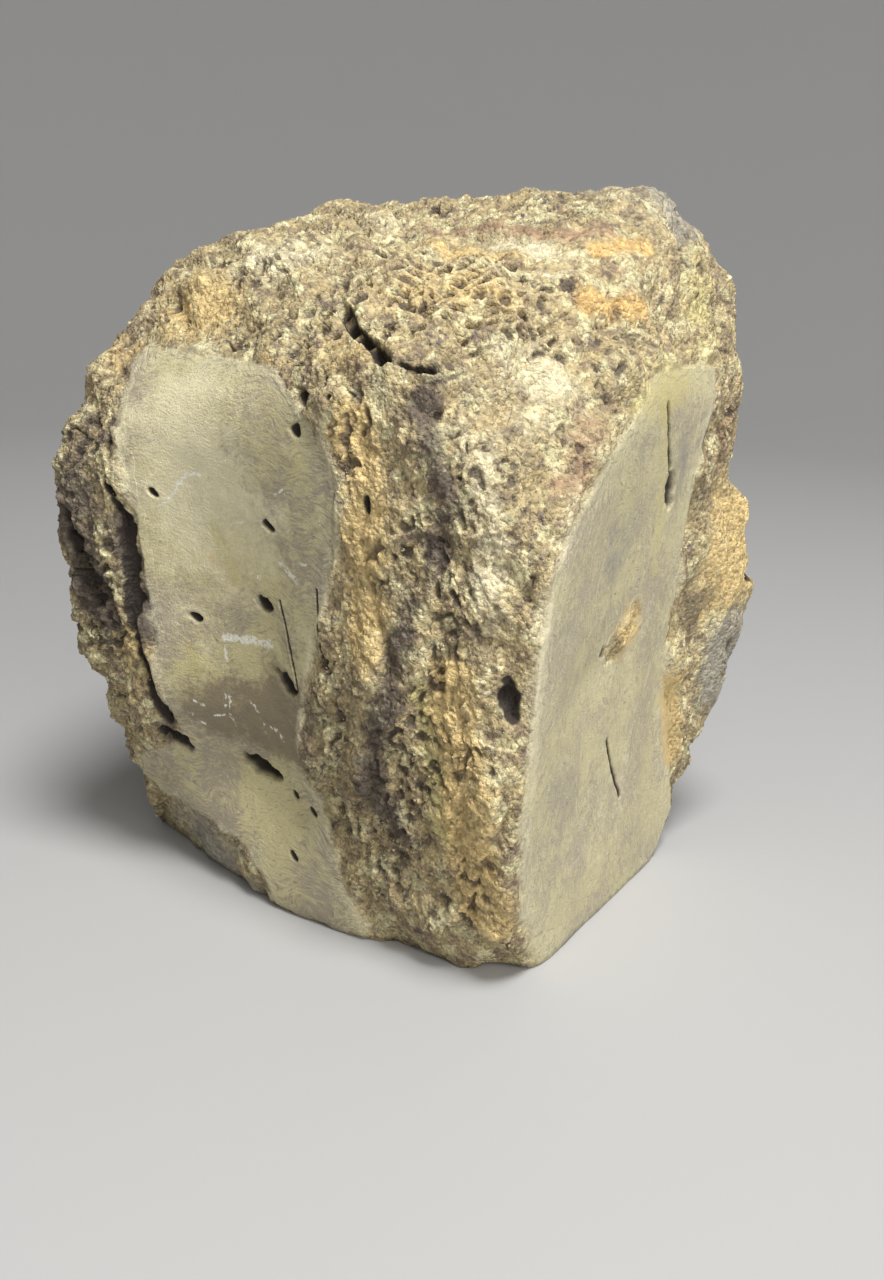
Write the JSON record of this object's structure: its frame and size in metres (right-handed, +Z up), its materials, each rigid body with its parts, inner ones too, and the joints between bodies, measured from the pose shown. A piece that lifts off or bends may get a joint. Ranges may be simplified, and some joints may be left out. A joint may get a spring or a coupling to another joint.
{
  "type": "fossil hadrosaur vertebra",
  "caption": "Fossil dinosaur vertebra body with waisted sides, a smooth joint face, worn porous rims and broken arch bases, resting on its underside.",
  "frame": {"origin": "middle of the base of the bone's box, on the plane that the underside rests on", "axes": "+Z up towards the spinal canal, +X along the centrum towards the smooth joint face, -Y towards the side with the open panel"},
  "size_m": [0.1086, 0.0984, 0.134],
  "materials": {
    "fossil_bone": "mineralised bone, worn and porous on the rims, smooth on the side panel and joint face"
  },
  "bodies": {
    "root": {"centrum": "fossil_bone"}
  },
  "joints": []
}
